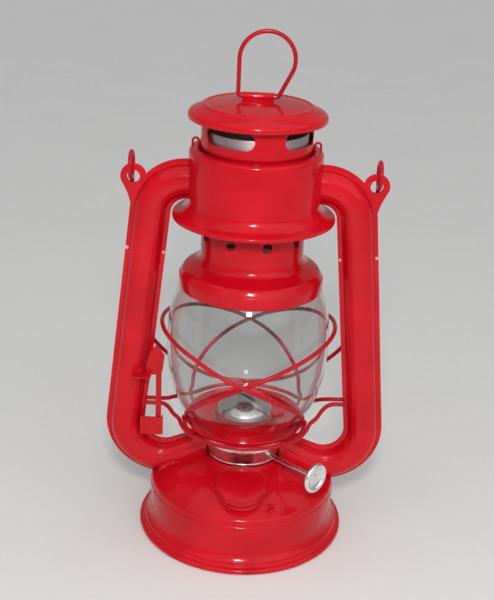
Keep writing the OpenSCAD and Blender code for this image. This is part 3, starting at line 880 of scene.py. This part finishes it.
def hood():
    """The hood with its rounded shoulder and flared skirt, uncut where the air tubes enter."""
    shoulder = 2.6
    crown = arc(HOOD_R - shoulder, HOOD_TOP - shoulder, shoulder, 75, 0, 8)
    flare = arc(HOOD_R + 6.6, 184, 6.6, 180, 250, 12)
    skirt = [(FLANGE_R, 176.8), (FLANGE_R, 175.4)]
    shell = build("hood_shell", revolve(sheet_outline(crown + flare + skirt, SHEET, 1.0)))
    piece(shell, "frame", RED, "red_enamel", "hood")


# ---- chimney ---------------------------------------------------------------------------------

def slot_cutter(centre, half_angle, half_height, z):
    """A curved slot with round ends, cut through the band's wall."""
    inner = BAND_R - 4
    outer = BAND_R + 3
    round_angle = math.degrees(half_height / BAND_R)
    up = Vector((0, 0, 1))
    steps = 24
    rings = []
    for i in range(2 * steps + 1):
        t = -1 + i / steps
        t = math.copysign(1 - (1 - abs(t)) ** 1.6, t) if abs(t) > 0 else 0.0
        offset = t * half_angle
        beyond = max(0.0, abs(offset) - (half_angle - round_angle)) / round_angle
        h = max(0.02, half_height * math.sqrt(max(0.0, 1 - beyond ** 2)))
        a = math.radians(centre + offset)
        c = Vector((math.cos(a), math.sin(a), 0))
        rings.append([c * inner + up * (z - h), c * outer + up * (z - h),
                      c * outer + up * (z + h), c * inner + up * (z + h)])
    return loft(rings)


def chimney():
    """Bell, neck holes, flue, slotted band and the lid with its pressed rings."""
    flare = arc(NECK_R + 6.2, 156.6, 6.2, 180, 248, 12)
    edge = arc(31.4, 145.4, 4.2, 74, 20, 8)
    line = [(NECK_R, 198)] + flare + edge + [(35.9, 146), (36.6, 145), (36.6, 139.3)]
    bell = build("chimney_bell", revolve(sheet_outline(line, SHEET, 0.7)))
    circle = arc(0, NECK_HOLE_Z, NECK_HOLE_R, 0, 345, 23)
    holes = []
    for k in range(NECK_HOLES):
        turn = Matrix.Rotation(math.radians(NECK_HOLE_START + 360 / NECK_HOLES * k), 4, "Z")
        holes.append(build("neck_hole", moved(extrude(circle, 20, 31), turn)))
    cut(bell, *holes)
    piece(bell, "chimney", RED, "red_enamel", "bell")

    band_line = [(BAND_R, 229.9), (BAND_R, 210.8), (BAND_R - 0.65, 208.6), (BAND_R - 0.65, 197)]
    band = build("chimney_band", revolve(sheet_outline(band_line, SHEET, 1.0)))
    slots = []
    for k in range(VENT_SLOTS):
        centre = VENT_START + 360 / VENT_SLOTS * k
        slots.append(build("vent_slot", slot_cutter(centre, 29.5, 4.35, VENT_Z)))
    cut(band, *slots)
    piece(band, "chimney", RED, "red_enamel", "vent_band")

    crown = [(0, LID_TOP), (10, LID_TOP), (20, LID_TOP - 0.7), (24.4, LID_TOP - 1.5),
             (25.4, LID_TOP - 1.1), (26.6, LID_TOP - 1.2), (27.4, LID_TOP - 2.1)]
    brim = [(31, 229.4), (33, 228.3), (33.8, 227.3), (LID_R, 226.5), (LID_R, 225.2)]
    lid = build("chimney_lid", revolve(sheet_outline(crown + brim, SHEET, 1.6)))
    piece(lid, "chimney", RED, "red_enamel", "cap_lid")

    low, high = box_of("flue_tube")
    flue_line = [(high.x, high.z), (high.x, low.z)]
    flue = build("flue_liner", revolve(sheet_outline(flue_line, SHEET)))
    # the flue's tinplate carries painted shade and a painted reflection of the red enamel
    piece(flue, "chimney", STAINED_SHADED_TIN, "tinplate", "flue_tube")


def lift_ring():
    """The sheet strap on the lid, rolled round the ring's foot, and the bent wire ring."""
    low, high = box_of("ring_strap")
    half_t = 0.3
    roll_r = 1.9
    flat = 233.3
    roll = arc(0, RING_Z, roll_r - half_t, -50, 230, 26)
    line = [(5.2, flat), (2.6, flat)] + roll + [(-2.6, flat), (-5.2, flat)]
    spine = filleted(line, 0.9)
    outline = aside_signed(spine, -half_t) + aside_signed(spine, half_t)[::-1]
    strap = build("ring_hinge", extrude([tuple(p) for p in outline], low.x, high.x, "x"), 0.12)
    piece(strap, "chimney", RED, "red_enamel", "ring_strap")

    left = -10.1
    bend = 13.3
    corner = 1.7
    last = -27
    crown = Vector((left + bend, 253))
    tip = crown + bend * polar(last)
    foot_z = RING_Z + corner + corner * polar(last).y
    foot_x = tip.x + (tip.y - foot_z) * math.tan(math.radians(last))
    right = foot_x - corner * polar(last).x
    loop = arc(crown.x, crown.y, bend, last, 180, 34)
    loop += [(left, z) for z in (249, 245, 241)]
    loop += arc(left + corner, RING_Z + corner, corner, 180, 270, 8)
    loop += [(x, RING_Z) for x in (-5, -1, 3, 6)]
    loop += arc(right, RING_Z + corner, corner, -90, last, 6)
    foot = Vector((foot_x, foot_z))
    loop += [tuple(foot.lerp(tip, t)) for t in (0.3, 0.6, 0.85)]
    points = smooth_line([(x, 0, z) for x, z in loop], 1.0, True)
    ring = build("top_ring", wire(points, RING_D, True, 16, 0.03), angle=60)
    piece(ring, "lift_ring", WIRE, "red_wire", "lift_ring")


def bail():
    """The carrying bail: an eye at each end through the ears, hanging behind the lantern."""
    def eye(side):
        loop = [(side * BAIL_R, y, z) for y, z in arc(0, 0, EYE_R, 262, -84, 38)]
        stem = [(side * BAIL_R, 0.25, -EYE_R - 1.4), (side * BAIL_R, 0.03, -EYE_R - 3.6)]
        return loop + stem
    leg = [(-BAIL_R, 0, -z) for z in range(20, BAIL_LEG, 8)]
    bow = [(x, 0, z) for x, z in arc(0, -BAIL_LEG, BAIL_R, 180, 360, 48)]
    path = eye(-1) + leg + bow + [(-x, y, z) for x, y, z in leg[::-1]] + eye(1)[::-1]
    turn = Matrix.Translation((0, 0, BAIL_Z)) @ Matrix.Rotation(BAIL_HANG, 4, "X")
    points = [turn @ p for p in smooth_line(path, 1.1)]
    handle = build("carry_bail", wire(points, BAIL_D, seed=4), angle=60)
    piece(handle, "bail", WIRE, "red_wire", "bail")


# ---- globe and its cradle --------------------------------------------------------------------

GLOBE_WIDEST_Z = 110


def globe_at(z):
    """Radius of the globe's outer face at height z."""
    reach = 54.7 if z < GLOBE_WIDEST_Z else 45
    return GLOBE_R * (1 - (abs(z - GLOBE_WIDEST_Z) / reach) ** 2.5) ** 0.4


def globe():
    """The blown glass globe, thick at its fire-polished rims."""
    side = [(globe_at(z), z) for z in [141 - 2.5 * i for i in range(30)]]
    line = [(33, GLOBE_TOP), (33.3, 144)] + side + [(28.6, 63.8), (28.4, 61.3)]
    glass = build("globe_glass", revolve(sheet_outline(line, 1.6, 3)), angle=80)
    piece(glass, "globe_cradle", GLASS, "clear_glass", "globe")


def globe_plate():
    """The pressed plate that the globe stands on."""
    line = [(16.6, 62.6), (16.6, 60.6), (17.4, 59.8), (20.4, 59.6), (21.4, 60.3), (22.6, 60.3),
            (23.6, 59.6), (25.4, 60), (26.2, 61.1), (29.2, 61.2), (30.2, 62.2), (31.5, 64.2)]
    outer = filleted(line, 0.8)
    under = aside(outer, SHEET)
    ring = outer + half_turn(outer[-1], under[-1]) + under[::-1] + half_turn(under[0], outer[0])
    plate = build("globe_seat", revolve(ring))
    piece(plate, "globe_cradle", RED, "red_enamel", "globe_plate")


def guard_paths():
    """Paths of the two lower wires and of the two wires that cross round the globe."""
    left_arm = [(-52.2, -2.85, 69.9), (-50, -2.85, 69.9), (-47, -2.85, 69.9), (-43.9, -2.85, 69.9),
                (-41.4, -4.3, 69.4), (-39.3, -7, 68.7), (-37.3, -10.2, 67.7)]
    right_arm = [(37.9, -10.2, 68.8), (40.4, -6.9, 71.2), (43.3, -4.2, 72.9), (46.5, -2.95, 73.7),
                 (49.5, -2.85, 73.8), (51.8, -2.85, 73.8)]
    hoop = []
    for a in range(-159, -20, 6):
        k = max(0, abs(a + 90) - 48) / 21
        hoop.append((36.7 * polar(a).x, 36.7 * polar(a).y, 63.6 + 3 * k * k))
    lower = left_arm + hoop + right_arm

    def cross(out):
        turned = [(27, 59), (29.5, 59.1), (32, 60.3), (33.4, 62.6), (34, 65.4), (34.7, 68.2)]
        path = [(r * polar(-156).x, r * polar(-156).y, z) for r, z in turned]
        for a in range(-150, 151, 6):
            z = 118 - 47 * (a / 150) ** 2
            lift = out * (GUARD_D + 0.05) * max(0, 1 - ((abs(a) - 90) / 34) ** 2)
            r = globe_at(z) + GUARD_D / 2 + 0.35 + 1.6 * polar(a / 2).x ** 6 + lift
            path.append((r * polar(a).x, r * polar(a).y, z))
        return path + [(r * polar(156).x, r * polar(156).y, z) for r, z in turned[::-1]]
    return lower, cross(0), [(-x, y, z) for x, y, z in cross(1)]


def guards():
    """The bent wires of the globe cradle."""
    lower, right, left = guard_paths()
    paths = {"guard_front": lower, "guard_back": [(x, -y, z) for x, y, z in lower],
             "guard_cross_right": right, "guard_cross_left": left}
    for seed, (node, path) in enumerate(paths.items(), 2):
        shape = wire(smooth_line(path, 1.3), GUARD_D, seed=seed, wobble=0.05)
        guard = build(node.replace("guard", "wire_guard"), shape, angle=60)
        piece(guard, "globe_cradle", WIRE, "red_wire", node)


# ---- CAD nodes that stay ---------------------------------------------------------------------

def keep_cad_nodes():
    """CAD nodes shown in their own shape: a real finish on each, and the lever's edges rounded."""
    finishes = {"red_enamel": RED, "red_wire": WIRE, "tinplate": TIN, "clear_glass": GLASS,
                "cotton": COTTON, "cork": CORK}
    slots = {}
    for part in frame["record"]["subparts"]:
        slots[part["node"]] = part["material_slot"]
    for name, obj in frame["nodes"].items():
        if obj.hide_render:
            continue
        obj.data.materials.clear()
        obj.data.materials.append(finishes[slots[name]])
    for name in ("lift_lever", "lever_bracket"):
        obj = frame["nodes"][name]
        weld = obj.modifiers.new("join faces", "WELD")
        weld.merge_threshold = 1e-6
        bevel = obj.modifiers.new("round edges", "BEVEL")
        bevel.width = 0.28 * MM
        bevel.segments = 3
        bevel.limit_method = "ANGLE"


# ---- room, lamps and camera, in metres -------------------------------------------------------

FLOOR_REACH = 6
SKY_STRENGTH = 0.31
CEILING_POWER = 1.15
CEILING_SPREAD = math.radians(110)
CEILING_FROM = Vector((0.2, -0.5, 1))
LAMPS_AIM = Vector((0, 0, 0.12))
CAMERA_AT = (-0.0014, -0.5395, 0.3512)
CAMERA_PITCH = math.radians(22.3)
CAMERA_ROLL = math.radians(2.6)
CAMERA_LENS = 68.16             # mm, on a sensor that is 36 mm wide


def area_light(name, at, size, power):
    """A square soft lamp aimed at the middle of the lantern."""
    data = bpy.data.lights.new(name, "AREA")
    data.size = size
    data.energy = power
    lamp = add_object(name, data)
    lamp.location = at
    lamp.rotation_euler = (LAMPS_AIM - Vector(at)).to_track_quat("-Z", "Y").to_euler()


def room():
    """A pale floor and room, a soft ceiling, a far window and a small flash by the camera."""
    floor_mesh = bpy.data.meshes.new("floor")
    signs = ((-1, -1), (1, -1), (1, 1), (-1, 1))
    corners = [(FLOOR_REACH * x, FLOOR_REACH * y, 0) for x, y in signs]
    floor_mesh.from_pydata(corners, [], [(0, 1, 2, 3)])
    floor = add_object("floor", floor_mesh)
    n = Nodes("pale_floor")
    shade = n.blend(n.noise(9, 3), (0.73, 0.725, 0.71), (0.78, 0.775, 0.76))
    n.link(shade, n.shader.inputs["Base Color"])
    n.link(n.bump(n.noise(160, 4), 0.0004, 0.2), n.shader.inputs["Normal"])
    n.set(Roughness=0.65)
    floor_mesh.materials.append(n.material)
    world = bpy.data.worlds.new("pale_room")
    bpy.context.scene.world = world
    world.use_nodes = True
    sky = world.node_tree.nodes["Background"]
    sky.inputs["Color"].default_value = (0.96, 0.97, 1.0, 1)
    sky.inputs["Strength"].default_value = SKY_STRENGTH
    panel = bpy.data.lights.new("ceiling_panel", "SUN")
    panel.energy = CEILING_POWER
    panel.angle = CEILING_SPREAD
    ceiling = add_object("ceiling_panel", panel)
    ceiling.rotation_euler = CEILING_FROM.to_track_quat("Z", "Y").to_euler()
    area_light("flash", (0.0, -0.60, 0.52), 0.085, 2.6)
    area_light("window", (1.4, -1.6, 1.5), 1.6, 3)


def camera():
    """The photograph's view: a little above the lantern, pitched down and slightly rolled."""
    data = bpy.data.cameras.new("camera")
    data.sensor_width = 36
    data.lens = CAMERA_LENS
    obj = add_object("camera", data)
    right = Vector((1, 0, 0))
    up = Vector((0, math.sin(CAMERA_PITCH), math.cos(CAMERA_PITCH)))
    x_axis = right * math.cos(CAMERA_ROLL) + up * math.sin(CAMERA_ROLL)
    y_axis = -right * math.sin(CAMERA_ROLL) + up * math.cos(CAMERA_ROLL)
    turn = Matrix((x_axis, y_axis, x_axis.cross(y_axis))).transposed().to_4x4()
    obj.matrix_world = Matrix.Translation(CAMERA_AT) @ turn
    bpy.context.scene.camera = obj


tank()
filler()
burner()
wick_control()
tubes()
ears()
crimps()
solder()
hood()
chimney()
lift_ring()
bail()
globe()
globe_plate()
guards()
keep_cad_nodes()
room()
camera()
bpy.context.scene.view_settings.view_transform = "Standard"
